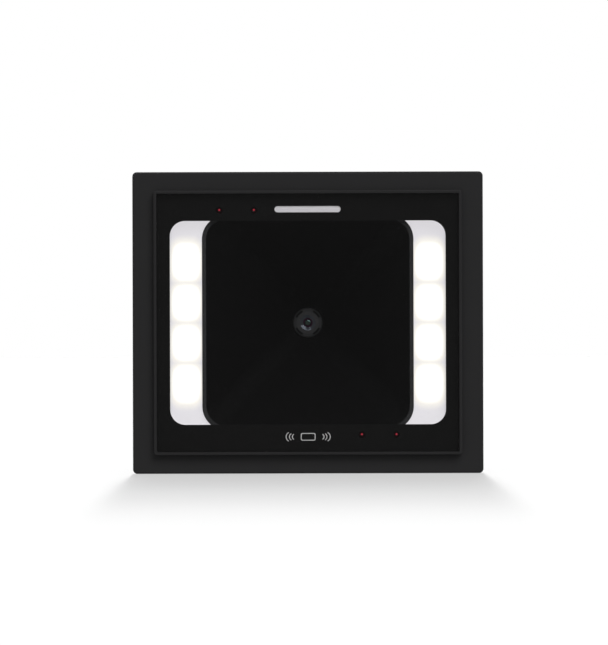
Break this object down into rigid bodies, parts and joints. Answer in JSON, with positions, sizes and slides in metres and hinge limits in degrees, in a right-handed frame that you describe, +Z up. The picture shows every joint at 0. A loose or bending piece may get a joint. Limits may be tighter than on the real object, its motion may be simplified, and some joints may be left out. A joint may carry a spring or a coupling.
{
  "type": "fixed barcode reader",
  "caption": "Flange-mounted code reader with a glass window, lit diffuser bars beside a black funnel hood around a camera lens, and a closed rear housing with a data socket.",
  "frame": {"origin": "centre of the flange's rear face, in the plane of the panel that the reader is fixed in", "axes": "+X to the right as seen from the front, +Y from the window towards the back, +Z up"},
  "size_m": [0.079, 0.0528, 0.068],
  "materials": {
    "shell_plastic": "fine matt moulded texture",
    "hood_plastic": "matt black, light absorbing",
    "window_glass": "clear polished",
    "lens_glass": "coated",
    "filter_glass": "coated",
    "mask_ink": "printed black, seen through glass",
    "antenna_film": "copper on film",
    "adhesive_tape": "matt foam tape",
    "diffuser_milk": "milky translucent",
    "status_milk": "milky translucent",
    "reflector_white": "white",
    "lamp_white": "phosphor",
    "lamp_red": "tinted clear",
    "circuit_board": "solder mask",
    "chip_black": "moulded",
    "barrel_black": "black anodised",
    "connector_ivory": "moulded",
    "ribbon_white": "laminated",
    "steel": "zinc plated",
    "brass": "turned",
    "gold": "gold plated",
    "seal_rubber": "matt"
  },
  "bodies": {
    "root": {"front_bezel": "shell_plastic", "window": "window_glass", "window_mask": "mask_ink", "antenna_film": "antenna_film", "window_tape": "adhesive_tape", "left_diffuser": "diffuser_milk", "right_diffuser": "diffuser_milk", "left_reflector": "reflector_white", "right_reflector": "reflector_white", "led_board": "circuit_board", "white_leds": "lamp_white", "aimer_leds": "lamp_red", "status_light_guide": "status_milk", "status_leds": "lamp_white", "lens_hood": "hood_plastic", "chassis_screws": "steel", "lens_barrel": "barrel_black", "front_lens": "lens_glass", "lens_spacer": "barrel_black", "rear_lens": "lens_glass", "lens_retainer": "barrel_black", "lens_holder": "chip_black", "infrared_filter": "filter_glass", "image_sensor": "chip_black", "imager_board": "circuit_board", "board_connector": "chip_black", "board_spacers": "steel", "main_board": "circuit_board", "board_screws": "steel", "processor": "chip_black", "memory_chip": "chip_black", "beeper": "chip_black", "ribbon_sockets": "connector_ivory", "ribbon_cable": "ribbon_white", "interface_socket": "chip_black", "socket_contacts": "gold", "housing_seal": "seal_rubber", "rear_housing": "shell_plastic", "housing_screws": "steel", "mounting_inserts": "brass"}
  },
  "joints": []
}
